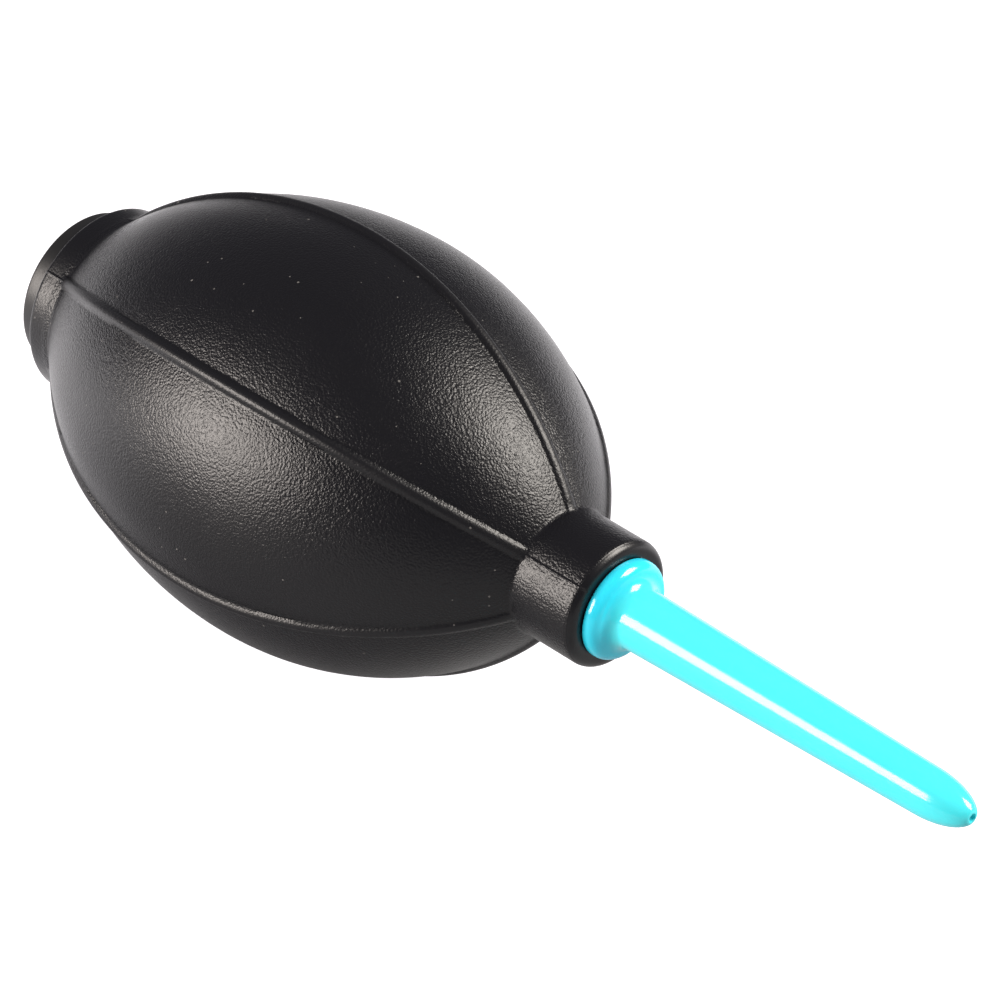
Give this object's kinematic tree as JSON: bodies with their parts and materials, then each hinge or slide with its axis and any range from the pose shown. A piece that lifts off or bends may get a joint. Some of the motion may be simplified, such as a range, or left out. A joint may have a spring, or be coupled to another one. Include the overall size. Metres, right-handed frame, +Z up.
{
  "type": "dust blower bulb",
  "caption": "Egg-shaped ribbed rubber squeeze bulb with a rear one-way air inlet and a slim push-in nozzle, for blowing dust off small parts.",
  "frame": {"origin": "under the middle of the overall length, on the surface that the bulb lies on", "axes": "+X along the blower's axis towards the nozzle tip, +Z up, the axis 27.5 mm above the surface"},
  "size_m": [0.149, 0.055, 0.055],
  "materials": {
    "black_rubber": "fine leather grain, satin, smoother on the ribs and edges",
    "cyan_plastic": "glossy moulded",
    "black_plastic": "smooth satin moulded",
    "natural_plastic": "undyed moulded",
    "silicone": "soft satin"
  },
  "bodies": {
    "bulb": {"bulb_body": "black_rubber", "inlet_cover": "black_plastic", "valve_body": "natural_plastic", "valve_cage": "natural_plastic"},
    "lower_wall": {"lower_squeeze_wall": "black_rubber"},
    "upper_wall": {"upper_squeeze_wall": "black_rubber"},
    "nozzle": {"nozzle": "cyan_plastic"},
    "flap": {"valve_flap": "silicone"}
  },
  "joints": [
    {"name": "lower_squeeze", "type": "slide", "parent": "bulb", "child": "lower_wall", "axis": [0, 0.7071, 0.7071], "range_m": [0, 0.009], "stiffness_N_per_m": 600},
    {"name": "upper_squeeze", "type": "slide", "parent": "bulb", "child": "upper_wall", "axis": [0, -0.7071, -0.7071], "range_m": [0, 0.009], "stiffness_N_per_m": 600},
    {"name": "nozzle_pull", "type": "slide", "parent": "bulb", "child": "nozzle", "axis": [1, 0, 0], "range_m": [0, 0.022]},
    {"name": "valve_lift", "type": "slide", "parent": "bulb", "child": "flap", "axis": [1, 0, 0], "range_m": [0, 0.001]}
  ],
  "couplings": [
    {"joint": "upper_squeeze", "follows": "lower_squeeze", "ratio": 1}
  ]
}
